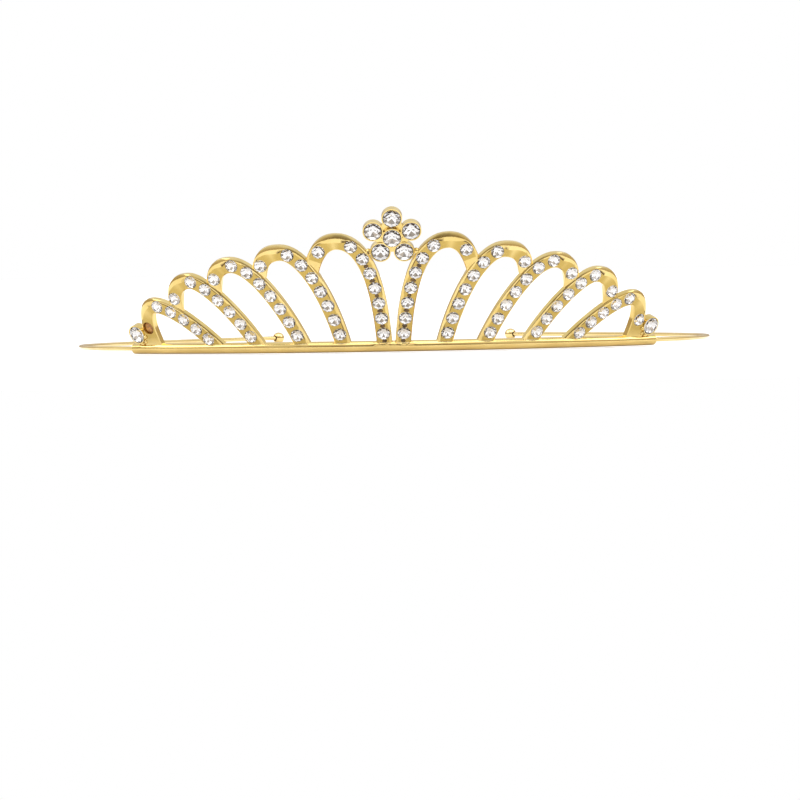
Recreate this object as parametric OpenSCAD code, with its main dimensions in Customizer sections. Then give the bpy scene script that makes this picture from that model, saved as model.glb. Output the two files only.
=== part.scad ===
// Mini crown headband: a spring wire band with a small leaning crown of stone-set arches.
// Millimetres. The band lies flat, +Z up, -Y to the front of the head, +X to the right of the picture.
// Reference point: the floor point under the middle of the whole piece.

/* [Band] */
// Radius of the front arc, on the tube's centre line
front_radius = 84.5; // [80:0.5:90]
// Half of the angle that the crown's tube covers
front_half_angle = 41.5; // [40.5:0.5:43]
// Radius of the band beside the tube
side_radius = 42; // [36:0.5:48]
// Angle that the side arc turns through
side_sweep = 61; // [55:1:66]
// Radius behind the widest place
back_radius = 66; // [56:1:76]
// Angle that the back arc turns through
back_sweep = 23; // [16:1:28]
// Radius of the nearly straight rear leg
leg_radius = 295; // [200:5:500]
// Angle that the rear leg turns through
leg_sweep = 9; // [5:0.5:11]
// Diameter of the spring wire
wire_d = 1; // [0.8:0.05:1.2]
// Gap round the wire inside the tube and the balls
wire_play = 0.05; // [0.03:0.01:0.1]
// Diameter of the tube under the crown
tube_d = 2.4; // [2.2:0.05:2.8]
// Diameter of the ball on each end of the wire
ball_d = 2.8; // [2.4:0.1:3.4]
// Depth that the wire enters a ball past its middle
ball_grip = 0.5; // [0.2:0.1:0.8]

/* [Crown] */
// Height up the crown of the first arch's top, on its middle line
arch_high = 24.1; // [22:0.1:26]
// Angle that the crown leans out from upright
lean = 23.5; // [18:0.5:28]
// Width of an arch's ribbon on the stone leg
ribbon_w = 3.3; // [3.2:0.05:3.6]
// Width of an arch's ribbon on the plain shoulder
shoulder_w = 3.5; // [3.3:0.05:3.8]
// Width of the last arch where it stands on the tube
last_foot_w = 4.8; // [4.2:0.1:5.2]
// Ribbon's face in front of the crown's middle surface
face_out = 0.6; // [0.5:0.05:0.8]
// Ribbon's back behind the crown's middle surface
back_in = 0.7; // [0.5:0.05:0.9]
// Small bevel along the ribbon's inner edge
edge_bevel = 0.15; // [0.08:0.01:0.25]
// Width of the polished rim along the outer edge of a leg
rim_w = 0.6; // [0.4:0.05:0.8]
// How far the rim falls back at the outer edge of a leg
rim_drop = 0.3; // [0.2:0.05:0.3]
// The same on the shoulder, where the rim widens to half of the ribbon
shoulder_drop = 0.65; // [0.4:0.05:0.75]
// How far the end of an arch is thinned where it joins the next
landing_thin = 0.4; // [0.35:0.05:0.45]

/* [Small stones] */
// Girdle diameter of a small stone
small_stone_d = 2.7; // [2.5:0.05:2.75]
// Gap round a stone in its seat
seat_play = 0.05; // [0.04:0.01:0.08]
// Depth of a small stone's seat in the ribbon's face
seat_deep = 0.8; // [0.6:0.05:0.95]
// Distance from the tube's line to the first stone on a leg
first_stone = 3.2; // [2.9:0.05:3.6]
// Distance between stones on a leg
stone_pitch = 3.42; // [3.25:0.01:3.5]

/* [Flower and end stones] */
// Height of the flower's middle above the first arch's top
flower_above = 1.1; // [0.4:0.1:1.8]
// Distance from the flower's middle to a petal's middle
petal_reach = 4.15; // [4.05:0.05:4.4]
// Girdle diameter of a flower stone
big_stone_d = 3.75; // [3.5:0.05:3.8]
// Outer diameter of a flower cup
cup_d = 4.3; // [4.25:0.05:4.6]
// Depth of a cup's seat
cup_deep = 1.2; // [1:0.05:1.3]
// Cup's back behind the crown's middle surface
cup_back = 0.8; // [0.6:0.05:1]
// Cup's rim in front of the crown's middle surface
cup_front = 0.8; // [0.7:0.05:1]
// How far the middle cup stands in front of the petals
middle_proud = 0.7; // [0.4:0.05:0.9]
// Distance along the tube from its end to an end cup's middle
end_cup_in = 2.5; // [2.2:0.1:2.9]
// Space between an end cup and the tube, filled by solder
end_cup_gap = 0.25; // [0.1:0.05:0.35]
// Diameter of the solder nubs
nub_d = 1.2; // [0.9:0.05:1.5]

/* [Hidden] */
$fn = 64;
arch_rings = 24;
shoulder_rings = 24;
rim_run = 2;
cut = 8;
band_z = ball_d / 2;
bore_d = wire_d + 2 * wire_play;
small_seat_d = small_stone_d + 2 * seat_play;
big_seat_d = big_stone_d + 2 * seat_play;

// Arches, from the middle outwards. Places along the tube and pulls along it are shares of
// half the tube's length; heights and upward pulls are shares of arch_high.
// foot: where the leg leaves the tube. slope: its sideways slope there. pull: length of that pull.
// top, high: the top's place. over: pull before the top. fall: pull after it.
// land, low: where the shoulder ends. dip: its angle there. hold: its pull there.
// pitch: share of stone_pitch. last: share of the shoulder's run to the stone near its end.
FOOT = 0;
SLOPE = 1;
PULL = 2;
TOP = 3;
HIGH = 4;
OVER = 5;
FALL = 6;
LAND = 7;
LOW = 8;
DIP = 9;
HOLD = 10;
PITCH = 11;
LAST = 12;
arch_shares = [
    // foot, slope, pull, top, high, over, fall, land, low, dip, hold, pitch, last
    [0.031, 0.05, 0.395, 0.173, 1.000, 0.106, 0.046, 0.260, 0.715, 74, 0.174, 1.025, 0.45],
    [0.171, 0.20, 0.375, 0.353, 0.905, 0.082, 0.048, 0.432, 0.690, 76, 0.166, 1.01, 0.68],
    [0.311, 0.35, 0.290, 0.525, 0.797, 0.082, 0.048, 0.598, 0.540, 84, 0.166, 0.995, 0.62],
    [0.474, 0.40, 0.220, 0.685, 0.652, 0.062, 0.056, 0.760, 0.370, 86, 0.174, 1.0, 0.68],
    [0.625, 0.85, 0.310, 0.853, 0.422, 0.062, 0.056, 0.900, 0.000, 90, 0.125, 0.97, 0.56]
];
half_tube = front_radius * front_half_angle * PI / 180;
arches = [for (r = arch_shares) [
    r[FOOT] * half_tube, r[SLOPE], r[PULL] * arch_high, r[TOP] * half_tube, r[HIGH] * arch_high,
    r[OVER] * half_tube, r[FALL] * half_tube, r[LAND] * half_tube, r[LOW] * arch_high,
    r[DIP], r[HOLD] * arch_high, r[PITCH] * stone_pitch, r[LAST]
]];
flower_high = arch_high + flower_above;
end_cup_along = half_tube - end_cup_in;
end_cup_high = (tube_d + cup_d) / 2 + end_cup_gap;

// Band in plan: ends of each arc and the way it runs there. The front arc runs on a little
// past the tube's end, so that the wire leaves it straight.
wire_out = 0.6;
way_1 = front_half_angle + wire_out;
way_2 = way_1 + side_sweep;
way_3 = way_2 + back_sweep;
way_4 = way_3 + leg_sweep;
function turn_middle(place, way, radius) = place + radius * [-sin(way), cos(way)];
function turn_end(middle, way, radius) = middle + radius * [sin(way), -cos(way)];
place_1 = turn_end([0, 0], way_1, front_radius);
middle_2 = turn_middle(place_1, way_1, side_radius);
place_2 = turn_end(middle_2, way_2, side_radius);
middle_3 = turn_middle(place_2, way_2, back_radius);
place_3 = turn_end(middle_3, way_3, back_radius);
middle_4 = turn_middle(place_3, way_3, leg_radius);
place_4 = turn_end(middle_4, way_4, leg_radius);
grip_sweep = ball_grip / leg_radius * 180 / PI;
arc_short = 0.03;
sleeve_swell = 0.03;
sleeve_long = 0.5;

// Stone cut, as shares of its diameter: table's width and height, girdle's edges, middle ring
table_share = 0.48;
table_rise = 0.22;
girdle_below = 0.037;
girdle_above = 0.03;
ring_share = 0.8;
ring_rise = 0.13;

// Front and rear ends of the whole piece, which set its middle
crown_tip = flower_high + petal_reach + big_stone_d / 2 * table_share;
front_end = -(front_radius + crown_tip * sin(lean)
    + (cup_front + big_stone_d * table_rise) * cos(lean));
rear_end = place_4[1] + ball_d / 2;
middle_y = (front_end + rear_end) / 2;

// Place on the leaning crown: along the tube, up the slope, out from its surface
function on_crown(along, up, out) =
    let(turn = along / front_radius * 180 / PI,
        reach = front_radius + up * sin(lean) + out * cos(lean))
    [reach * sin(turn), -reach * cos(turn), up * cos(lean) - out * sin(lean)];

// Turns a true sideways distance at a height into a distance along the tube
function across(x, up) = x * front_radius / (front_radius + up * sin(lean));

function pull_curve(a, b, c, d, t) =
    pow(1 - t, 3) * a + 3 * t * pow(1 - t, 2) * b + 3 * t * t * (1 - t) * c + pow(t, 3) * d;
function leg_at(r, t) =
    let(side = [r[SLOPE], 1] / norm([r[SLOPE], 1]), start = [r[FOOT], 0], end = [r[TOP], r[HIGH]])
    pull_curve(start, start + r[PULL] * side, end - [r[OVER], 0], end, t);
function shoulder_at(r, t) =
    let(start = [r[TOP], r[HIGH]], end = [r[LAND], r[LOW]])
    pull_curve(start, start + [r[FALL], 0], end - r[HOLD] * [cos(r[DIP]), -sin(r[DIP])], end, t);
function way_of(a, b) = (b - a) / norm(b - a);

// Distance run along a curve, as pairs of distance and share
function run_of(pts, i = 0, sum = 0, out = []) =
    i >= len(pts) ? out
    : let(next = sum + (i == 0 ? 0 : norm(pts[i] - pts[i - 1])))
      run_of(pts, i + 1, next, concat(out, [[next, i / (len(pts) - 1)]]));
function leg_run(r) = run_of([for (i = [0:48]) leg_at(r, i / 48)]);
function shoulder_run(r) = run_of([for (i = [0:32]) shoulder_at(r, i / 32)]);

// Places of the stones of one arch on the crown: as many on the leg as its run holds
function leg_stones(r) =
    let(run = leg_run(r),
        more = floor((run[len(run) - 1][0] - first_stone) / r[PITCH]))
    [for (k = [0:more]) leg_at(r, lookup(first_stone + k * r[PITCH], run))];
function last_stone(r) =
    let(run = shoulder_run(r)) shoulder_at(r, lookup(r[LAST] * run[len(run) - 1][0], run));

function smooth_step(t) = let(u = min(max(t, 0), 1)) u * u * (3 - 2 * u);

function mix(a, b, share) = a + (b - a) * share;

// One cross-section of a ribbon: a flat face, and a round rim that falls back to the outer edge.
// place, way, width, width of the rim, its drop, thinning
function ribbon_ring(place, way, wide, rim, drop, thin) =
    let(h = wide / 2,
        f = face_out - thin,
        b = back_in - thin,
        fall = min(drop, (f + b) * 0.6),
        sec = [
            [-h, -b],
            [-h, f - edge_bevel],
            [-h + edge_bevel, f],
            [h - rim, f],
            [h - rim * 0.55, f - fall * 0.17],
            [h - rim * 0.2, f - fall * 0.6],
            [h, f - fall],
            [h, -b]
        ],
        side = [-way[1], way[0]])
    [for (p = sec)
        let(q = place + p[0] * side,
            close = front_radius / (front_radius + q[1] * sin(lean)))
        on_crown(place[0] + (q[0] - place[0]) * close, q[1], p[1])];

// Distances along one arch: to the leg's end, to its last stone, and back from a share of a run
function length_of(run) = run[len(run) - 1][0];
function last_on_leg(r) =
    first_stone + floor((length_of(leg_run(r)) - first_stone) / r[PITCH]) * r[PITCH];
function distance_at(run, share) = lookup(share, [for (p = run) [p[1], p[0]]]);

// The rim opens just past the leg's last stone
function rim_open(r, far) = smooth_step((far - last_on_leg(r) - 0.2) / rim_run);
function leg_rings(r) =
    let(run = leg_run(r))
    [for (i = [0:arch_rings - 1])
        let(t = i / arch_rings,
            a = leg_at(r, max(t - 0.01, 0)), b = leg_at(r, t + 0.01),
            open = rim_open(r, distance_at(run, t)))
        ribbon_ring(leg_at(r, t), way_of(a, b), ribbon_w, mix(rim_w, ribbon_w / 2, open),
            mix(rim_drop, shoulder_drop, open), 0)];
function shoulder_rings_of(r, foot_w, thin) =
    let(run = shoulder_run(r), leg = length_of(leg_run(r)))
    [for (i = [0:shoulder_rings])
        let(t = i / shoulder_rings,
            a = shoulder_at(r, max(t - 0.01, 0)), b = shoulder_at(r, min(t + 0.01, 1)),
            open = rim_open(r, leg + distance_at(run, t)) * (1 - smooth_step((t - 0.1) / (r[LAST] - 0.1))),
            spread = smooth_step((t - 0.45) / 0.55),
            wide = mix(ribbon_w, shoulder_w, smooth_step(t / 0.3) * (1 - spread))
                + (foot_w - ribbon_w) * spread)
        ribbon_ring(shoulder_at(r, t), way_of(a, b), wide, mix(rim_w, wide / 2, open),
            mix(rim_drop, shoulder_drop, open), thin * smooth_step((t - 0.7) / 0.3))];

// Skin over rings of equal length, closed at both ends
module skin(rings) {
    m = len(rings[0]);
    n = len(rings);
    points = [for (ring = rings) for (p = ring) p];
    sides = [for (i = [0:n - 2]) for (j = [0:m - 1])
        let(a = i * m + j, b = i * m + (j + 1) % m)
        for (f = [[a, b, b + m], [a, b + m, a + m]]) f];
    first = [[for (j = [0:m - 1]) m - 1 - j]];
    last = [[for (j = [0:m - 1]) (n - 1) * m + j]];
    polyhedron(points, concat(sides, first, last), convexity = 8);
}

// Stands a thing on the crown's surface, its +Z pointing out of it
module stand(along, up, out) {
    turn = along / front_radius * 180 / PI;
    translate(on_crown(along, up, out))
        rotate([0, 0, turn])
            rotate([90 + lean, 0, 0])
                children();
}

// Puts the band's front centre where the reference point asks
module placed() {
    translate([0, -middle_y, band_z]) children();
}

module arch(i) {
    r = arches[i];
    last = i == len(arches) - 1;
    skin(concat(leg_rings(r), last ? shoulder_rings_of(r, last_foot_w, 0)
        : shoulder_rings_of(r, ribbon_w, landing_thin)));
}

// Seats of the next arch's stones that the shoulder of arch i lands on
function seats_landed_on(i) = i + 1 == len(arches) ? [] :
    let(r = arches[i])
    [for (p = leg_stones(arches[i + 1]))
        if (norm(p - [r[LAND], r[LOW]]) < (shoulder_w + small_seat_d) * 0.7) p];

module small_seats(places) {
    for (p = places)
        stand(p[0], p[1], face_out - seat_deep)
            cylinder(d = small_seat_d, h = seat_deep + 2);
}

// Every seat of an arch but its lowest, which is cut last, because on a slanting leg it may
// bite into the tube too
function upper_seats(i) =
    let(leg = leg_stones(arches[i]))
    concat([for (k = [1:len(leg) - 1]) leg[k]], [last_stone(arches[i])], seats_landed_on(i));
function lowest_seats(side) =
    [for (r = arches) let(p = leg_stones(r)[0]) [side * p[0], p[1]]];

module cup(proud) {
    translate([0, 0, -cup_back])
        difference() {
            cylinder(d = cup_d, h = cup_back + cup_front + proud);
            translate([0, 0, cup_back + cup_front + proud - cup_deep])
                cylinder(d = big_seat_d, h = cup_deep + 1);
        }
}

function flower_place(turn, reach) =
    let(up = flower_high + reach * cos(turn)) [across(reach * sin(turn), up), up];
function petal_place(k) = flower_place(72 * k, petal_reach);

// Flower of five petal cups round a middle cup, with small webs between them
module flower() {
    difference() {
        union() {
            for (k = [0:4]) {
                p = petal_place(k);
                stand(p[0], p[1], -cup_back)
                    cylinder(d = cup_d, h = cup_back + cup_front);
                w = flower_place(72 * k + 36, petal_reach * 0.66);
                stand(w[0], w[1], -cup_back + 0.2)
                    cylinder(d = nub_d * 1.1, h = cup_back + 0.35);
            }
            stand(0, flower_high, -cup_back)
                cylinder(d = cup_d, h = cup_back + cup_front + middle_proud);
        }
        for (k = [0:4]) {
            p = petal_place(k);
            stand(p[0], p[1], cup_front - cup_deep)
                cylinder(d = big_seat_d, h = cup_deep + 3);
        }
        stand(0, flower_high, cup_front + middle_proud - cup_deep)
            cylinder(d = big_seat_d, h = cup_deep + 1);
    }
}

module flower_nubs() {
    up = flower_high - petal_reach * cos(36) - 0.1;
    r = arches[0];
    leg = [for (i = [0:48]) let(p = leg_at(r, i / 48)) [p[1], p[0]]];
    cup_edge = across(petal_reach * sin(36) + cup_d / 2, up);
    arch_edge = lookup(up, leg) - across(ribbon_w * 0.6, up);
    along = (cup_edge + arch_edge) / 2;
    wide = max(nub_d, abs(arch_edge - cup_edge) + nub_d * 0.6);
    for (side = [-1, 1]) stand(side * along, up, 0.05) sphere(d = wide);
}

module end_cup(side) {
    stand(side * end_cup_along, end_cup_high, 0) cup(0);
    on_tube = tube_d / 2;
    stand(side * (end_cup_along - cup_d * 0.4), on_tube + 0.15, 0) sphere(d = nub_d);
    stand(side * (end_cup_along - cup_d * 0.1), on_tube, 0) sphere(d = nub_d);
    stand(side * (end_cup_along - cup_d * 0.51), end_cup_high - 0.6, face_out)
        sphere(d = nub_d * 0.75);
    stand(side * (end_cup_along - cup_d * 0.44), on_tube + 0.7, face_out - 0.1)
        sphere(d = nub_d * 0.75);
}

module tube_body() {
    rotate([0, 0, -90 - front_half_angle])
        rotate_extrude(angle = 2 * front_half_angle, $fn = 360)
            translate([front_radius, 0]) circle(d = tube_d, $fn = 32);
}

module tube_bore() {
    rotate([0, 0, -90 - front_half_angle - 1])
        rotate_extrude(angle = 2 * front_half_angle + 2, $fn = 360)
            translate([front_radius, 0]) circle(d = bore_d, $fn = 24);
}

module crown_frame() {
    color("gold") placed() difference() {
        union() {
            tube_body();
            for (i = [0:len(arches) - 1]) {
                difference() {
                    arch(i);
                    small_seats(upper_seats(i));
                }
                mirror([1, 0, 0])
                    difference() {
                        arch(i);
                        small_seats(upper_seats(i));
                    }
            }
            flower();
            flower_nubs();
            end_cup(1);
            end_cup(-1);
        }
        tube_bore();
        small_seats(lowest_seats(1));
        small_seats(lowest_seats(-1));
    }
}

// One arc of the wire in plan, a hair short at each end, where a thin sleeve joins it to the next
module wire_arc(middle, way, sweep, radius) {
    short = arc_short / radius * 180 / PI;
    translate([middle[0], middle[1], 0])
        rotate([0, 0, way - 90 + short])
            rotate_extrude(angle = sweep - 2 * short, $fn = 120)
                translate([radius, 0]) circle(d = wire_d, $fn = 24);
}

module wire_sleeve(place, way) {
    translate([place[0], place[1], 0])
        rotate([0, 0, way])
            rotate([0, 90, 0])
                cylinder(d = wire_d + 2 * sleeve_swell, h = sleeve_long, center = true, $fn = 32);
}

module half_wire() {
    wire_sleeve(place_1, way_1);
    wire_arc(middle_2, way_1, side_sweep, side_radius);
    wire_sleeve(place_2, way_2);
    wire_arc(middle_3, way_2, back_sweep, back_radius);
    wire_sleeve(place_3, way_3);
    wire_arc(middle_4, way_3, leg_sweep + grip_sweep, leg_radius);
}

module headband_wire() {
    color("goldenrod") placed() {
        wire_arc([0, 0], -way_1, 2 * way_1, front_radius);
        half_wire();
        mirror([1, 0, 0]) half_wire();
    }
}

module ball(side) {
    translate([side * place_4[0], place_4[1], 0])
        rotate([0, 0, side * (way_4 - 90)])
            difference() {
                sphere(d = ball_d);
                rotate([90, 0, 0])
                    translate([0, 0, -ball_grip - 0.1])
                        cylinder(d = bore_d + 0.04, h = ball_d);
            }
}

module ball_right() {
    color("gold") placed() ball(1);
}

module ball_left() {
    color("gold") placed() ball(-1);
}

// Cut stone: table, two rows of crown facets, girdle and a cut-off cone below
module cut_stone(d, deep) {
    function ring(share, z, half) = [for (k = [0:cut - 1])
        let(a = (k + half) * 360 / cut) [d / 2 * share * cos(a), d / 2 * share * sin(a), z]];
    rings = [
        ring(0.5, -deep, 0),
        ring(1, -d * girdle_below, 0),
        ring(1, d * girdle_above, 0),
        ring(ring_share, d * ring_rise, 0.5),
        ring(table_share, d * table_rise, 0)
    ];
    m = cut;
    points = [for (g = rings) for (p = g) p];
    plain = [for (i = [0:1]) for (j = [0:m - 1])
        let(a = i * m + j, b = i * m + (j + 1) % m)
        for (f = [[a, a + m, b + m], [a, b + m, b]]) f];
    low = [for (j = [0:m - 1])
        let(a = 2 * m + j, b = 2 * m + (j + 1) % m, e = 3 * m + j, g = 3 * m + (j + 1) % m)
        for (f = [[a, e, b], [e, g, b]]) f];
    high = [for (j = [0:m - 1])
        let(e = 3 * m + j, g = 3 * m + (j + 1) % m, c = 4 * m + j, h = 4 * m + (j + 1) % m)
        for (f = [[e, h, g], [e, c, h]]) f];
    bottom = [[for (j = [0:m - 1]) j]];
    table = [[for (j = [0:m - 1]) 4 * m + m - 1 - j]];
    polyhedron(points, concat(plain, low, high, bottom, table), convexity = 4);
}

module row(i, side, foot_stone) {
    r = arches[i];
    for (p = concat(leg_stones(r), foot_stone ? [last_stone(r)] : []))
        stand(side * p[0], p[1], face_out)
            cut_stone(small_stone_d, seat_deep - seat_play);
}

module flower_stone(k) {
    p = k == 0 ? [0, flower_high] : petal_place(k - 1);
    stand(p[0], p[1], cup_front + (k == 0 ? middle_proud : 0))
        cut_stone(big_stone_d, cup_deep - seat_play);
}

module end_stone(side) {
    stand(side * end_cup_along, end_cup_high, cup_front)
        cut_stone(big_stone_d, cup_deep - seat_play);
}

module flower_stone_middle() { color("white") placed() flower_stone(0); }
module flower_stone_1() { color("white") placed() flower_stone(1); }
module flower_stone_2() { color("white") placed() flower_stone(2); }
module flower_stone_3() { color("white") placed() flower_stone(3); }
module flower_stone_4() { color("white") placed() flower_stone(4); }
module flower_stone_5() { color("white") placed() flower_stone(5); }
module end_stone_left() { color("white") placed() end_stone(-1); }
module end_stone_right() { color("white") placed() end_stone(1); }
module row_left_1() { color("white") placed() row(0, -1, true); }
module row_left_2() { color("white") placed() row(1, -1, true); }
module row_left_3() { color("white") placed() row(2, -1, true); }
module row_left_4() { color("white") placed() row(3, -1, true); }
module row_left_5() { color("white") placed() row(4, -1, false); }
module row_right_1() { color("white") placed() row(0, 1, true); }
module row_right_2() { color("white") placed() row(1, 1, true); }
module row_right_3() { color("white") placed() row(2, 1, true); }
module row_right_4() { color("white") placed() row(3, 1, true); }
module row_right_5() { color("white") placed() row(4, 1, true); }

crown_frame();
headband_wire();
ball_left();
ball_right();
flower_stone_middle();
flower_stone_1();
flower_stone_2();
flower_stone_3();
flower_stone_4();
flower_stone_5();
end_stone_left();
end_stone_right();
row_left_1();
row_left_2();
row_left_3();
row_left_4();
row_left_5();
row_right_1();
row_right_2();
row_right_3();
row_right_4();
row_right_5();
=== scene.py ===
import bpy
import math
from mathutils import Matrix, Vector


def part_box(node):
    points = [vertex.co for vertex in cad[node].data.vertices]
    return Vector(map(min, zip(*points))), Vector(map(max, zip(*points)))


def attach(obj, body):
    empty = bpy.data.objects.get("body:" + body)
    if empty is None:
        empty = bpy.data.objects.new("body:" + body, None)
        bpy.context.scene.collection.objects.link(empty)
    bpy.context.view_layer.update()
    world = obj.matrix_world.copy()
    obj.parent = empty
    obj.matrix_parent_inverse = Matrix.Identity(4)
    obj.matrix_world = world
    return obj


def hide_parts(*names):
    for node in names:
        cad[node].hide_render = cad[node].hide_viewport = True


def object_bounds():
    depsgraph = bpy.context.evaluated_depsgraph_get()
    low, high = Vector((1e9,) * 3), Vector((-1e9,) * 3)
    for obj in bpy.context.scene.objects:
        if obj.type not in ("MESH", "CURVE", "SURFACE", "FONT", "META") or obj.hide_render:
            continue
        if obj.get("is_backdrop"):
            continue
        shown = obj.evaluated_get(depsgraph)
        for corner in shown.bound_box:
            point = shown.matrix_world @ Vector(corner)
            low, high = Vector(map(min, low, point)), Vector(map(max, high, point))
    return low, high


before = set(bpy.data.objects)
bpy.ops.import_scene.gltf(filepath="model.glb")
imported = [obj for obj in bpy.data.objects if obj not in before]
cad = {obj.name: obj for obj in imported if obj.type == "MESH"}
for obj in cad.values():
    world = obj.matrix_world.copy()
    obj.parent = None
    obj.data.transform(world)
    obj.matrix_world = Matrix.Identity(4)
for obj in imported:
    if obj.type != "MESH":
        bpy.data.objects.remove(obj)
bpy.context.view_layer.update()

# Sizes of the real piece, in metres, as the solids have them
MM = 0.001
FRONT_RADIUS, SIDE_RADIUS, BACK_RADIUS, LEG_RADIUS = 84.5 * MM, 42 * MM, 66 * MM, 295 * MM
FRONT_HALF = math.radians(41.5)
WIRE_OUT = math.radians(0.6)
SIDE_SWEEP, BACK_SWEEP, LEG_SWEEP = math.radians(61), math.radians(23), math.radians(9)
WIRE_D, BALL_D, BALL_GRIP = 1.0 * MM, 2.8 * MM, 0.5 * MM
TUBE_D = 2.4 * MM
LEAN = math.radians(23.5)
FACE_OUT, SEAT_DEEP, CUP_DEEP = 0.6 * MM, 0.8 * MM, 1.2 * MM
SMALL_SEAT_D, BIG_SEAT_D = 2.8 * MM, 3.85 * MM
BAND_Z = BALL_D / 2
BAND_MIDDLE_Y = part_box("headband_wire")[0].y + WIRE_D / 2 + FRONT_RADIUS

# Cut stones, of which the big ones are a little smaller than the solids, inside their cups' rims
SMALL_STONE_D, BIG_STONE_D = 2.7 * MM, 3.62 * MM
# How crooked a stone may lie in its glue
SMALL_TILT, BIG_TILT = math.radians(3), math.radians(1.4)
# How much thinner the scene's wire and balls are than the solids, to stay inside their box
HAIR = 0.01 * MM

ROWS = ["row_%s_%d" % (side, i) for side in ("left", "right") for i in range(1, 6)]
BIG_STONES = ["flower_stone_middle"] + ["flower_stone_%d" % i for i in range(1, 6)]
BIG_STONES += ["end_stone_left", "end_stone_right"]


# Places on the leaning crown

def on_crown(along, up, out):
    """Point at a place along the tube, up the crown's slope and out from its middle surface."""
    turn = along / FRONT_RADIUS
    reach = FRONT_RADIUS + up * math.sin(LEAN) + out * math.cos(LEAN)
    high = up * math.cos(LEAN) - out * math.sin(LEAN)
    return Vector((reach * math.sin(turn), BAND_MIDDLE_Y - reach * math.cos(turn), BAND_Z + high))


def crown_place(point):
    """The other way round: along, up and out of a point."""
    x, y, high = point.x, point.y - BAND_MIDDLE_Y, point.z - BAND_Z
    reach = math.hypot(x, y) - FRONT_RADIUS
    up = reach * math.sin(LEAN) + high * math.cos(LEAN)
    out = reach * math.cos(LEAN) - high * math.sin(LEAN)
    return FRONT_RADIUS * math.atan2(x, -y), up, out


def out_of_crown(point):
    """Direction straight out of the crown's surface at a point."""
    away = Vector((point.x, point.y - BAND_MIDDLE_Y, 0)).normalized()
    return away * math.cos(LEAN) - Vector((0, 0, math.sin(LEAN)))


def share(value):
    """A value held between 0 and 1."""
    return min(max(value, 0), 1)


# Materials

def linear(hex_code):
    """An sRGB hex value as linear colour."""
    parts = [int(hex_code[i:i + 2], 16) / 255 for i in (0, 2, 4)]
    return [c / 12.92 if c <= 0.04045 else ((c + 0.055) / 1.055) ** 2.4 for c in parts] + [1.0]


def add(tree, kind, values=None, links=None, **settings):
    """Adds one node with its settings, input values and links from other nodes' outputs."""
    made = tree.nodes.new(kind)
    for key, value in settings.items():
        setattr(made, key, value)
    for key, value in (values or {}).items():
        made.inputs[key].default_value = value
    for key, (source, output) in (links or {}).items():
        tree.links.new(source.outputs[output], made.inputs[key])
    return made


def noise(tree, place, size_mm, **detail):
    """Noise whose patches are a real size, in the object's own coordinates."""
    values = {"Scale": 1 / (size_mm * MM)}
    values.update((key.capitalize(), value) for key, value in detail.items())
    return add(tree, "ShaderNodeTexNoise", values, {"Vector": (place, "Object")})


def ramp(tree, source, first, last, positions=(0, 1)):
    """Colour that runs from one hex value to another with a node's Fac."""
    made = add(tree, "ShaderNodeValToRGB", None, {"Fac": (source, "Fac")})
    for stop, position, colour in zip(made.color_ramp.elements, positions, (first, last)):
        stop.position = position
        stop.color = linear(colour)
    return made


def new_material(name):
    made = bpy.data.materials.new(name)
    made.use_nodes = True
    made.node_tree.nodes.clear()
    return made, made.node_tree


def give(piece, *materials):
    piece.data.materials.clear()
    for m in materials:
        piece.data.materials.append(m)


def satin_channel_and_shade(t, place, shade, sheen, channel):
    """The channel that the buff doesn't reach: satin, and deeper in colour, which is painted shade
    of the flat faces between the stones. Its crease is darkened here and there by old glue,
    polishing residue and painted shade. The mesh says where it is."""
    polish_and_shade = add(t, "ShaderNodeAttribute", attribute_name="polish_and_shade")
    satin = add(t, "ShaderNodeMath", {1: 0.1}, {0: sheen}, operation="ADD")
    # Painted shade: the channel colour darkens the flat faces between the stones, on a real satin
    # finish
    deeper = add(t, "ShaderNodeMix", {6: linear(channel)}, {0: (polish_and_shade, "Fac"), 7: shade},
                 data_type="RGBA")
    softer = add(t, "ShaderNodeMix", None, {0: (polish_and_shade, "Fac"), 2: (satin, "Value"), 3: sheen})
    crease = add(t, "ShaderNodeAttribute", attribute_name="channel_edge")
    patch = noise(t, place, 3, detail=2.0)
    strong = add(t, "ShaderNodeMapRange", {"From Min": 0.42, "From Max": 0.58, "To Max": 1.6},
                 {"Value": (patch, "Fac")})
    # Painted shade with old glue: brown 5A421A in noisy patches along the crease
    crease_glue_and_shade = add(t, "ShaderNodeMath", None, {0: (crease, "Fac"), 1: (strong, "Result")},
               operation="MULTIPLY", use_clamp=True)
    crease_glue_and_shade_mix = add(t, "ShaderNodeMix", {7: linear("5A421A")}, {0: (crease_glue_and_shade, "Value"), 6: (deeper, 2)},
                data_type="RGBA")
    return (crease_glue_and_shade_mix, 2), (softer, 0)


def solder_lumps(t, place, wave, half_mm):
    """Low lumps of solder on top of the tube, on both sides of its middle."""
    lump_mm, lump_high = 0.8, 0.25 * MM
    low, high = BAND_Z + 0.1 * MM, BAND_Z + 0.5 * MM
    at = add(t, "ShaderNodeSeparateXYZ", None, {"Vector": (place, "Object")})
    off = add(t, "ShaderNodeMath", None, {0: (at, "X")}, operation="ABSOLUTE")
    near = add(t, "ShaderNodeMapRange", {"From Min": half_mm * MM, "From Max": 0.7 * half_mm * MM},
               {"Value": (off, "Value")})
    on_top = add(t, "ShaderNodeMapRange", {"From Min": low, "From Max": high}, {"Value": (at, "Z")})
    run = add(t, "ShaderNodeMath", None, {0: (near, "Result"), 1: (on_top, "Result")},
              operation="MULTIPLY")
    lump = noise(t, place, lump_mm, detail=1.5)
    lumps = add(t, "ShaderNodeMath", None, {0: (run, "Value"), 1: (lump, "Fac")},
                operation="MULTIPLY")
    return add(t, "ShaderNodeBump", {"Strength": 0.8, "Distance": lump_high},
               {"Height": (lumps, "Value"), "Normal": (wave, "Normal")})


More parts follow.
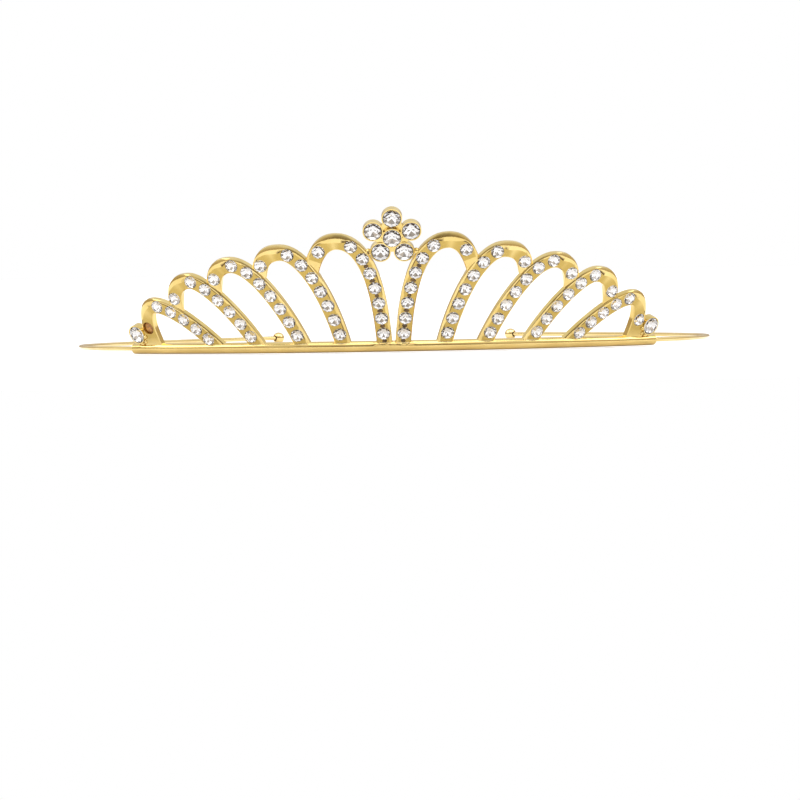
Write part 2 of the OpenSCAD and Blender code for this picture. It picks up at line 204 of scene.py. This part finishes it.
def pale_gold_plate(name, light, deep, roughness, grain_mm, dent_mm, channel=None, solder_mm=0):
    """Pale gold electroplated over polished metal and lacquered: a bright warm mirror, a little
    soft from the plating, deeper in colour where the plate is thicker, with the faint waves of
    hand polishing, and the thin white shine of the clear lacquer over it."""
    made, t = new_material(name)
    place = add(t, "ShaderNodeTexCoord")
    cloud = noise(t, place, 6, detail=2.0, roughness=0.5)
    colour = ramp(t, cloud, deep, light, (0.35, 0.65))
    grain = noise(t, place, grain_mm, detail=3.0, roughness=0.6)
    gloss = add(t, "ShaderNodeMapRange", {"From Min": 0.3, "From Max": 0.7,
                                          "To Min": roughness * 0.8, "To Max": roughness * 1.25},
                {"Value": (grain, "Fac")})
    wave = add(t, "ShaderNodeBump", {"Strength": 0.35, "Distance": dent_mm * MM},
               {"Height": (grain, "Fac")})
    shade, sheen = (colour, "Color"), (gloss, "Result")
    if channel:
        shade, sheen = satin_channel_and_shade(t, place, shade, sheen, channel)
    if solder_mm:
        wave = solder_lumps(t, place, wave, solder_mm)
    skin = add(t, "ShaderNodeBsdfPrincipled",
               {"Metallic": 1.0, "Coat Weight": 0.4, "Coat Roughness": 0.06},
               {"Base Color": shade, "Roughness": sheen, "Normal": (wave, "Normal")})
    add(t, "ShaderNodeOutputMaterial", None, {"Surface": (skin, "BSDF")})
    return made


def cut_crystal():
    """Machine-cut lead-free crystal glass, polished: clear, hard bright facets."""
    made, t = new_material("cut_crystal_glass")
    skin = add(t, "ShaderNodeBsdfPrincipled", {"Base Color": linear("FCFCFF"), "Roughness": 0.01,
                                               "IOR": 1.54, "Transmission Weight": 1.0})
    add(t, "ShaderNodeOutputMaterial", None, {"Surface": (skin, "BSDF")})
    return made


def silver_foil():
    """Vacuum-silvered back of a chaton: a thin mirror that throws the light back out of it."""
    made, t = new_material("silvered_foil_back")
    place = add(t, "ShaderNodeTexCoord")
    cloud = noise(t, place, 0.9, detail=1.0)
    colour = ramp(t, cloud, "EDEAE6", "FAF9F7")
    skin = add(t, "ShaderNodeBsdfPrincipled", {"Metallic": 1.0, "Roughness": 0.08},
               {"Base Color": (colour, "Color")})
    add(t, "ShaderNodeOutputMaterial", None, {"Surface": (skin, "BSDF")})
    return made


def dried_glue(name, dark, light):
    """Old jeweller's glue, dried where it was squeezed out or where a stone fell off: brown, with a
    glossy skin over a rough bed. Between the stones and on the seat walls its brown also paints
    shade."""
    made, t = new_material(name)
    place = add(t, "ShaderNodeTexCoord")
    cloud = noise(t, place, 0.5, detail=4.0)
    colour = ramp(t, cloud, dark, light, (0.35, 0.7))
    lumps = add(t, "ShaderNodeBump", {"Strength": 0.6, "Distance": 0.1 * MM},
                {"Height": (cloud, "Fac")})
    skin = add(t, "ShaderNodeBsdfPrincipled", {"Roughness": 0.3, "IOR": 1.5},
               {"Base Color": (colour, "Color"), "Normal": (lumps, "Normal")})
    add(t, "ShaderNodeOutputMaterial", None, {"Surface": (skin, "BSDF")})
    return made


def matt_paper():
    """Seamless matt white paper of a product table: even, with hardly any shine."""
    made, t = new_material("matt_white_paper")
    place = add(t, "ShaderNodeTexCoord")
    fibre = noise(t, place, 4, detail=3.0)
    colour = ramp(t, fibre, "F5F5F5", "F9F9F9")
    skin = add(t, "ShaderNodeBsdfPrincipled", {"Roughness": 1.0, "Specular IOR Level": 0.0},
               {"Base Color": (colour, "Color")})
    add(t, "ShaderNodeOutputMaterial", None, {"Surface": (skin, "BSDF")})
    return made


# BD9F51 is the channel's deeper colour, painted shade of the flat faces between the stones
cast_gold = pale_gold_plate("pale_gold_plate_on_cast_zinc", "EDD28A", "DBBD6F", 0.13, 0.7, 0.015,
                            channel="BD9F51")
tube_gold = pale_gold_plate("pale_gold_plate_on_drawn_tube", "E8CB82", "DFC077", 0.1, 0.9, 0.004,
                            solder_mm=5)
wire_gold = pale_gold_plate("pale_gold_plate_on_spring_wire", "F2D795", "E9CB85", 0.12, 0.5, 0.006)
solder_gold = pale_gold_plate("pale_gold_plate_on_solder", "F0DDA6", "E4CE92", 0.22, 0.4, 0.03)
crystal = cut_crystal()
foil = silver_foil()
# The dark dabs between stones are old glue and painted shade; the amber glue on the seat walls and
# floors is old glue that also paints the shade round each stone
gap_glue_and_shade = dried_glue("dark_glue_and_painted_shade", "3E2C10", "7C5A22")
seat_glue = dried_glue("dried_amber_glue", "8E5C20", "CC9040")
paper = matt_paper()


# Working by hand on a mesh

def only(piece):
    bpy.ops.object.select_all(action="DESELECT")
    piece.select_set(True)
    bpy.context.view_layer.objects.active = piece


def edit(piece):
    only(piece)
    bpy.ops.object.mode_set(mode="EDIT")


def done():
    bpy.ops.object.mode_set(mode="OBJECT")


def tidy_normals(piece):
    """Merges doubled points and turns every face outwards."""
    edit(piece)
    bpy.ops.mesh.select_all(action="SELECT")
    bpy.ops.mesh.remove_doubles(threshold=1e-7)
    bpy.ops.mesh.normals_make_consistent(inside=False)
    done()


def smooth(piece, degrees):
    """Smooth shading that keeps wide faces flat and lets narrow broken edges turn the light."""
    only(piece)
    bpy.ops.object.shade_smooth_by_angle(angle=math.radians(degrees))
    weighted = piece.modifiers.new("weighted", "WEIGHTED_NORMAL")
    weighted.mode = "FACE_AREA_WITH_ANGLE"
    weighted.keep_sharp = True
    bpy.ops.object.modifier_apply(modifier="weighted")


def place_mesh(piece, matrix):
    """The place goes into the mesh, and the object stays at the origin."""
    piece.data.transform(matrix)
    piece.matrix_world = Matrix.Identity(4)


def joined(pieces, name):
    """Several pieces made into one."""
    bpy.ops.object.select_all(action="DESELECT")
    for piece in pieces:
        piece.select_set(True)
    bpy.context.view_layer.objects.active = pieces[0]
    if len(pieces) > 1:
        bpy.ops.object.join()
    pieces[0].name = name
    return pieces[0]


# Stones: one brilliant-cut chaton is ground from a disc, facet by facet, as the machine does it

def cut_chaton():
    """A stone with a girdle 1 across, its girdle at the origin and its table up. Heights and
    reaches are shares of the girdle's diameter, starts and tilts are degrees."""
    girdle_reach, girdle_half, table_reach, table_high = 0.5, 0.03, 0.245, 0.22
    step = 360 / 16
    bpy.ops.object.select_all(action="DESELECT")
    bpy.ops.mesh.primitive_cylinder_add(vertices=32, radius=girdle_reach, depth=1.2,
                                        location=(0, 0, 0))
    stone = bpy.context.object
    stone.name = "chaton"
    edit(stone)

    def grind(point, normal):
        bpy.ops.mesh.select_all(action="SELECT")
        bpy.ops.mesh.bisect(plane_co=point, plane_no=normal, use_fill=True, clear_outer=True)

    def facets(count, start, tilt, reach, high):
        """A ring of facets, each tilted by tilt and passing reach from the axis at height high."""
        for k in range(count):
            turn = math.radians(start + 360 * k / count)
            out = Vector((math.cos(turn), math.sin(turn), 0))
            rise = Vector((0, 0, math.cos(math.radians(tilt))))
            normal = out * math.sin(math.radians(tilt)) + rise
            if high < 0:
                normal.z = -normal.z
            grind(out * reach + Vector((0, 0, high)), normal)

    grind((0, 0, table_high), (0, 0, 1))
    facets(8, 0, 37, girdle_reach, girdle_half)
    facets(8, step, 22, table_reach, table_high)
    facets(16, step / 2, 43, girdle_reach - 0.003, girdle_half)
    facets(8, 0, 17, girdle_reach, -girdle_half)
    facets(8, step, 20, girdle_reach, -girdle_half)
    done()
    tidy_normals(stone)
    give(stone, crystal, foil)
    for face in stone.data.polygons:
        face.material_index = 1 if face.center.z < -girdle_half - 0.001 else 0
        face.use_smooth = False
    return stone


def loose_stones(node):
    """The vertices of each loose stone of a CAD node, as lists of points. Points less than a
    step of the grid apart are one."""
    steps_in_a_metre = 1e6
    mesh = cad[node].data
    key = [tuple(round(c * steps_in_a_metre) for c in v.co) for v in mesh.vertices]
    leader = {k: k for k in key}

    def top(k):
        while leader[k] != k:
            leader[k] = leader[leader[k]]
            k = leader[k]
        return k

    for face in mesh.polygons:
        first = top(key[face.vertices[0]])
        for i in face.vertices[1:]:
            leader[top(key[i])] = first
    groups = {}
    for k in leader:
        groups.setdefault(top(k), []).append(Vector(k) * (1 / steps_in_a_metre))
    return [groups[g] for g in sorted(groups)]


def stone_place(points, diameter, count, tilt):
    """Matrix that puts a chaton 1 across where a CAD stone is: its girdle is the widest ring.
    Each stone is turned its own way and lies a little crooked in its glue, so that no two shine
    alike."""
    rim_points, turn_step, golden_angle = 16, 17, 137.5
    middle = sum(points, Vector()) / len(points)
    far = sorted(points, key=lambda p: (p - middle).length)
    rim = far[-rim_points:]
    centre = sum(rim, Vector()) / len(rim)
    axis = Vector()
    for a in rim:
        for b in rim:
            n = (a - centre).cross(b - centre)
            axis += n if n.y < 0 else -n
    axis.normalize()
    spin = axis.to_track_quat("Z", "Y").to_matrix().to_4x4()
    way = math.radians(count * golden_angle)
    lean = Matrix.Rotation(tilt * (0.5 + 0.5 * math.sin(5.3 * count)), 4,
                           Vector((math.cos(way), math.sin(way), 0)))
    turn = Matrix.Rotation(math.radians(count * turn_step), 4, "Z")
    return Matrix.Translation(centre) @ spin @ lean @ turn @ Matrix.Scale(diameter, 4)


def set_stones(name, node, master, diameter, tilt):
    """Copies of the cut stone in every seat of one CAD node, joined into one piece."""
    copies = []
    for points in loose_stones(node):
        copy = master.copy()
        copy.data = master.data.copy()
        bpy.context.collection.objects.link(copy)
        count = 1 + sum(len(places) for places in seats.values())
        seat = stone_place(points, diameter, count, tilt)
        seats.setdefault(node, []).append(seat.translation.copy())
        place_mesh(copy, seat)
        copies.append(copy)
    piece = joined(copies, name)
    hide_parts(node)
    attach(piece, "root")


# Places of the stones of each node, which the polishing, the painted shade, the glue and the solder
# follow
seats = {}
chaton = cut_chaton()
for row in ROWS:
    set_stones("cut_" + row, row, chaton, SMALL_STONE_D, SMALL_TILT)
for big in BIG_STONES:
    set_stones("cut_" + big, big, chaton, BIG_STONE_D, BIG_TILT)
bpy.data.objects.remove(chaton)

# The left end has lost its outermost small stone
outermost = max(seats["row_right_5"], key=lambda place: place.x)
EMPTY_SEAT = Vector((-outermost.x, outermost.y, outermost.z))


# Casting

# How far the satin channel and its painted shade reach from a stone's middle, and over what length
# it turns bright
CHANNEL_REACH, CHANNEL_FADE = 2.3 * MM, 2.2 * MM
# The same for the crease along it, darkened by old glue and painted shade
CREASE_REACH, CREASE_FADE = 2.25 * MM, 0.2 * MM
# How nearly a face looks straight out of the crown: the flat channel, and the round rim beside it
FLAT, ROUND = 0.997, 0.9
# Farther than any reach above
FAR_OFF = 1


def merged_copy(node, name):
    """A copy of a CAD node with its loose triangles merged, so that it can be shaded smoothly."""
    copy = cad[node].copy()
    copy.data = cad[node].data.copy()
    copy.name = name
    bpy.context.collection.objects.link(copy)
    only(copy)
    bpy.ops.mesh.customdata_custom_splitnormals_clear()
    tidy_normals(copy)
    return copy


def mark_polish_and_shade(piece):
    """Says how well each place is polished, which also says where the channel's painted shade goes:
    0 in the flat channel round the small stones, 1 on the round rims, edges and shoulders, which
    the buffing wheel reaches. The crease between the channel and the rim has a mark of its own, for
    its old glue and painted shade."""
    near_face, rim_top = 0.25 * MM, 0.02 * MM
    stones = [place for row in ROWS for place in seats[row]] + [EMPTY_SEAT]
    piece.data.attributes.new("polish_and_shade", "FLOAT", "CORNER")
    piece.data.attributes.new("channel_edge", "FLOAT", "CORNER")
    polish_and_shade, crease = piece.data.attributes["polish_and_shade"], piece.data.attributes["channel_edge"]
    for face in piece.data.polygons:
        facing = face.normal.dot(out_of_crown(face.center))
        on_face = abs(crown_place(face.center)[2] - FACE_OUT) < near_face
        flat = on_face and facing > FLAT
        rim = on_face and ROUND < facing < FLAT
        for corner in face.loop_indices:
            point = piece.data.vertices[piece.data.loops[corner].vertex_index].co
            near = FAR_OFF
            if flat or rim:
                near = min((point - place).length for place in stones)
            reach = share((near - CHANNEL_REACH) / CHANNEL_FADE)
            polish_and_shade.data[corner].value = reach * reach * (3 - 2 * reach) if flat else 1
            at_channel = rim and crown_place(point)[2] > FACE_OUT - rim_top
            dark = share((CREASE_REACH - near) / CREASE_FADE)
            crease.data[corner].value = dark if at_channel else 0


def in_a_seat(point):
    """Whether a point of the casting is on the wall or the floor of a stone's seat."""
    beside, under = 0.02 * MM, 0.05 * MM
    for node, places in list(seats.items()) + [("row_empty", [EMPTY_SEAT])]:
        small = node.startswith("row")
        wide, floor = (SMALL_SEAT_D, SEAT_DEEP) if small else (BIG_SEAT_D, CUP_DEEP)
        for place in places:
            if (point - place).length < wide / 2 + floor:
                out = out_of_crown(place)
                deep = (place - point).dot(out)
                aside = (point - place + out * deep).length
                if aside < wide / 2 + beside and beside < deep < floor + under:
                    return True
    return False


def crown_casting():
    """The casting and its tube, with old glue on the walls and floors of the seats, whose brown
    also paints the shade round each stone.
    """
    on_tube = TUBE_D / 2 + 0.03 * MM
    crown = merged_copy("crown_frame", "crown_casting")
    mark_polish_and_shade(crown)
    give(crown, cast_gold, tube_gold, seat_glue)
    for face in crown.data.polygons:
        c = face.center
        out = math.hypot(c.x, c.y - BAND_MIDDLE_Y) - FRONT_RADIUS
        if math.hypot(out, c.z - BAND_Z) < on_tube:
            face.material_index = 1
        # Painted shade with old glue: the seat walls and floors get the brown amber glue
        if in_a_seat(c):
            face.material_index = 2
    smooth(crown, 35)
    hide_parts("crown_frame")
    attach(crown, "root")


crown_casting()


# Glue and solder

def glue_dab(name, place, size, way, made_of):
    """A dab of dried glue with a soft crowned top, standing on the crown's surface at a place.
    Its size is across the way, along it, and out of the crown."""
    across, along, rise = size
    bpy.ops.object.select_all(action="DESELECT")
    bpy.ops.mesh.primitive_circle_add(vertices=16, radius=0.5, fill_type="NGON",
                                      location=(0, 0, 0))
    dab = bpy.context.object
    dab.name = name
    edit(dab)
    bpy.ops.mesh.select_all(action="SELECT")
    bpy.ops.mesh.extrude_region_move(TRANSFORM_OT_translate={"value": (0, 0, 0.45)})
    bpy.ops.mesh.inset(thickness=0.08)
    bpy.ops.transform.translate(value=(0, 0, 0.3))
    bpy.ops.mesh.inset(thickness=0.17)
    bpy.ops.transform.translate(value=(0.02, -0.03, 0.25))
    done()
    tidy_normals(dab)
    out = out_of_crown(place)
    side = way.cross(out).normalized()
    up = out.cross(side)
    stand = Matrix((side * across, up * along, out * rise)).transposed().to_4x4()
    place_mesh(dab, Matrix.Translation(place) @ stand)
    give(dab, made_of)
    smooth(dab, 60)
    return dab


def gap_places(row):
    """The gaps between the stones of an arch's leg and the one below them, each with its way."""
    next_stone, gaps, below = 3.8 * MM, 5, 0.49
    places = seats[row]
    pairs = [(a, b) for i, a in enumerate(places) for b in places[i + 1:]
             if (a - b).length < next_stone]
    pairs = sorted(pairs, key=lambda pair: pair[0].z + pair[1].z)[:gaps]
    spots = [((a + b) / 2, b - a) for a, b in pairs]
    low, next_up = min(places, key=lambda p: p.z), max(pairs[0], key=lambda p: p.z)
    return spots + [(low - (next_up - low) * below, next_up - low)]


def glue_and_shade_in_gaps():
    """The first arch on each side has a dark dab in every gap between its leg's stones and one
    below them, old glue and painted shade together, and the seat that lost its stone is full of
    glue."""
    sunk, gap_along, gap_rise, seat_wide, seat_rise = [
        mm * MM for mm in (0.03, 0.76, 0.12, 2.5, 0.55)]
    dabs = []
    for row in ("row_left_1", "row_right_1"):
        for k, (spot, way) in enumerate(gap_places(row)):
            along, up = crown_place(spot)[:2]
            floor = on_crown(along, up, FACE_OUT - sunk)
            across = (1.15 + 0.2 * math.sin(2.4 * k)) * MM
            # Painted shade with old glue: a dark dab in the gap between two stones
            dabs.append(glue_dab("gap_glue_and_shade", floor, (across, gap_along, gap_rise), way, gap_glue_and_shade))
    empty = EMPTY_SEAT - out_of_crown(EMPTY_SEAT) * (SEAT_DEEP - sunk)
    dabs.append(glue_dab("seat_glue", empty, (seat_wide, seat_wide, seat_rise),
                         Vector((0, 0, 1)), seat_glue))
    dabs = joined(dabs, "glue_and_shade_dabs")
    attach(dabs, "root")


glue_and_shade_in_gaps()


def solder_run(place, side, seed):
    """One thin lumpy run of solder along the tube."""
    run_d, run_long, uneven = 0.26 * MM, 2.5 * MM, 0.045 * MM
    out = out_of_crown(place)
    bpy.ops.object.select_all(action="DESELECT")
    bpy.ops.mesh.primitive_cylinder_add(vertices=10, radius=run_d / 2, depth=run_long,
                                        location=(0, 0, 0))
    run = bpy.context.object
    run.name = "solder_run"
    edit(run)
    for cut_at in (-0.9, -0.5, -0.1, 0.3, 0.7, 1.0):
        bpy.ops.mesh.select_all(action="SELECT")
        bpy.ops.mesh.bisect(plane_co=(0, 0, cut_at * MM), plane_no=(0, 0, 1))
    bpy.ops.mesh.select_all(action="SELECT")
    bpy.ops.transform.vertex_random(offset=uneven, uniform=0.3, normal=0.7, seed=seed)
    done()
    tidy_normals(run)
    stand = Matrix((out, side.cross(out), side)).transposed().to_4x4()
    place_mesh(run, Matrix.Translation(place) @ stand)
    give(run, solder_gold)
    smooth(run, 70)
    return run


def solder_at_feet():
    """A thin uneven run of solder along the foot of every leg, where it stands on the tube."""
    runs = []
    foot_up = math.sqrt((TUBE_D / 2) ** 2 - FACE_OUT ** 2) - 0.02 * MM
    for k, row in enumerate(ROWS):
        low, above = [crown_place(p) for p in sorted(seats[row], key=lambda p: p.z)[:2]]
        slant = (above[0] - low[0]) / (above[1] - low[1])
        along = low[0] - slant * (low[1] - foot_up)
        turn = along / FRONT_RADIUS
        side = Vector((math.cos(turn), math.sin(turn), 0))
        runs.append(solder_run(on_crown(along, foot_up, FACE_OUT), side, k))
    runs = joined(runs, "solder_runs")
    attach(runs, "root")


solder_at_feet()


# Wire and balls

def bent_wire():
    """The spring wire: a round section swept through each bend in turn, from ball to ball."""
    def end_of(middle, way, radius):
        return Vector((middle[0] + radius * math.sin(way), middle[1] - radius * math.cos(way),
                       BAND_Z))

    def middle_of(place, way, radius):
        return Vector((place[0] - radius * math.sin(way), place[1] + radius * math.cos(way),
                       BAND_Z))

    way = FRONT_HALF + WIRE_OUT
    front = Vector((0, BAND_MIDDLE_Y, BAND_Z))
    bends = [(front, FRONT_RADIUS, 2 * way, 120)]
    place = end_of(front, way, FRONT_RADIUS)
    right = []
    for radius, sweep, steps in ((SIDE_RADIUS, SIDE_SWEEP, 60), (BACK_RADIUS, BACK_SWEEP, 24),
                                 (LEG_RADIUS, LEG_SWEEP + BALL_GRIP / LEG_RADIUS, 16)):
        middle = middle_of(place, way, radius)
        right.append((middle, radius, sweep, steps))
        way += sweep
        place = end_of(middle, way, radius)
    left = [(Vector((-m.x, m.y, m.z)), r, w, n) for m, r, w, n in reversed(right)]
    start = Vector((-place.x, place.y, place.z))
    along = Vector((math.cos(way), -math.sin(way), 0))
    bpy.ops.object.select_all(action="DESELECT")
    turn = along.to_track_quat("Z", "Y").to_euler()
    bpy.ops.mesh.primitive_circle_add(vertices=20, radius=WIRE_D / 2 - HAIR, location=start,
                                      rotation=turn)
    wire = bpy.context.object
    wire.name = "spring_wire"
    place_mesh(wire, wire.matrix_world.copy())
    edit(wire)
    bpy.ops.mesh.select_all(action="SELECT")
    bpy.ops.mesh.edge_face_add()
    for middle, radius, sweep, steps in left + bends + right:
        bpy.ops.mesh.spin(steps=steps, angle=-sweep, center=middle, axis=(0, 0, 1))
    done()
    tidy_normals(wire)
    give(wire, wire_gold)
    smooth(wire, 40)
    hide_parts("headband_wire")
    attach(wire, "root")


bent_wire()


def end_ball(node, name):
    """A turned ball with a drilled hole, its edge broken, where the wire is pressed in."""
    flat_deep, broken_edge = 0.13 * MM, 0.05 * MM
    low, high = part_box(node)
    middle = (low + high) / 2
    side = 1 if middle.x > 0 else -1
    way = FRONT_HALF + WIRE_OUT + SIDE_SWEEP + BACK_SWEEP + LEG_SWEEP
    into = Vector((-side * math.cos(way), -math.sin(way), 0))
    bpy.ops.object.select_all(action="DESELECT")
    bpy.ops.mesh.primitive_uv_sphere_add(segments=40, ring_count=24, radius=BALL_D / 2 - HAIR,
                                         location=(0, 0, 0))
    ball = bpy.context.object
    ball.name = name
    edit(ball)
    bpy.ops.mesh.select_all(action="SELECT")
    bpy.ops.mesh.bisect(plane_co=(0, 0, BALL_D / 2 - flat_deep), plane_no=(0, 0, 1),
                        use_fill=True, clear_outer=True)
    bpy.ops.mesh.inset(thickness=broken_edge)
    bpy.ops.mesh.extrude_region_move(TRANSFORM_OT_translate={"value": (0, 0, -BALL_GRIP)})
    done()
    tidy_normals(ball)
    stand = into.to_track_quat("Z", "Y").to_matrix().to_4x4()
    place_mesh(ball, Matrix.Translation(middle) @ stand)
    give(ball, wire_gold)
    smooth(ball, 40)
    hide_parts(node)
    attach(ball, "root")


end_ball("ball_left", "turned_ball_left")
end_ball("ball_right", "turned_ball_right")


# Table, light and camera

def paper_sheet():
    """White paper on the table, which ends a little way in front of the crown."""
    wide, in_front = 60, 200 * MM
    bpy.ops.object.select_all(action="DESELECT")
    bpy.ops.mesh.primitive_plane_add(size=wide,
                                     location=(0, wide / 2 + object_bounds()[0].y - in_front, 0))
    sheet = bpy.context.object
    sheet.name = "paper_sheet"
    place_mesh(sheet, sheet.matrix_world.copy())
    give(sheet, paper)
    sheet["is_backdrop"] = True


paper_sheet()


def far_soft_box(name, azimuth, elevation, spread, power):
    """A large soft box a long way off, which lights the whole sheet evenly. Azimuth 0 is in front,
    and angles are degrees."""
    data = bpy.data.lights.new(name, "SUN")
    data.energy = power
    data.angle = math.radians(spread)
    lamp = bpy.data.objects.new(name, data)
    bpy.context.collection.objects.link(lamp)
    a, e = math.radians(azimuth), math.radians(elevation)
    toward = Vector((math.sin(a) * math.cos(e), -math.cos(a) * math.cos(e), math.sin(e)))
    lamp.location = toward * 2
    lamp.rotation_mode = "QUATERNION"
    lamp.rotation_quaternion = toward.to_track_quat("Z", "Y")


far_soft_box("soft_box_top", 8, 66, 48, 1.0)
far_soft_box("soft_box_left", -75, 40, 40, 0.8)
far_soft_box("soft_box_right", 80, 42, 40, 0.8)


def white_studio():
    """A pale room, warm and darker towards the floor, with a dim opening where the photographer
    stands. The camera sees plain white in its place."""
    floor_light, wall_light = (0.55, 0.46, 0.35, 1), (0.9, 0.92, 0.95, 1)
    world = bpy.data.worlds.new("white_studio")
    world.use_nodes = True
    room = world.node_tree
    room.nodes.clear()
    seen = add(room, "ShaderNodeLightPath")
    way = add(room, "ShaderNodeTexCoord")
    part = add(room, "ShaderNodeSeparateXYZ", None, {"Vector": (way, "Generated")})
    wall = add(room, "ShaderNodeValToRGB", None, {"Fac": (part, "Z")})
    for stop, high, light in zip(wall.color_ramp.elements, (0.1, 0.5), (floor_light, wall_light)):
        stop.position = high
        stop.color = light
    front = add(room, "ShaderNodeMapRange",
                {"From Min": -0.955, "From Max": -0.8, "To Min": 0.5, "To Max": 1.0},
                {"Value": (part, "Y")})
    dim = add(room, "ShaderNodeVectorMath", None, {0: (wall, "Color"), 1: (front, "Result")},
              operation="MULTIPLY")
    studio = add(room, "ShaderNodeBackground", {"Strength": 1.0}, {"Color": (dim, "Vector")})
    white = add(room, "ShaderNodeBackground", {"Color": (1, 1, 1, 1), "Strength": 1.0})
    both = add(room, "ShaderNodeMixShader", None,
               {0: (seen, "Is Camera Ray"), 1: (studio, "Background"), 2: (white, "Background")})
    add(room, "ShaderNodeOutputWorld", None, {"Surface": (both, "Shader")})
    bpy.context.scene.world = world
    bpy.context.scene.view_settings.view_transform = "Standard"


white_studio()


def photo_camera(elevation, roll, lens_px, distance, front, place_px):
    """Puts the middle of the tube's front at a pixel of the square picture. Angles are degrees, and
    the lens is as long as lens_px pixels of the picture are wide on the sensor."""
    picture_px, sensor_mm = 800, 36
    data = bpy.data.cameras.new("photo_camera")
    data.sensor_width = sensor_mm
    data.lens = lens_px * sensor_mm / picture_px
    data.clip_start, data.clip_end = 0.05, 60
    camera = bpy.data.objects.new("photo_camera", data)
    bpy.context.collection.objects.link(camera)
    e, r = math.radians(elevation), math.radians(roll)
    back = Vector((0, -math.cos(e), math.sin(e)))
    flat_up = Vector((0, math.sin(e), math.cos(e)))
    right = Vector((1, 0, 0)) * math.cos(r) - flat_up * math.sin(r)
    up = flat_up * math.cos(r) + Vector((1, 0, 0)) * math.sin(r)
    per_px = distance / lens_px
    aim = front + right * (picture_px / 2 - place_px[0]) * per_px
    aim += up * (place_px[1] - picture_px / 2) * per_px
    camera.location = aim + back * distance
    camera.rotation_mode = "QUATERNION"
    camera.rotation_quaternion = Matrix((right, up, back)).transposed().to_quaternion()
    bpy.context.scene.camera = camera


# Two degrees above the floor: the photo's camera is below the band's plane, where a table is here
tube_front = Vector((0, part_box("headband_wire")[0].y, BAND_Z))
photo_camera(2, 1.0, 3636, 0.766, tube_front, (394, 346))
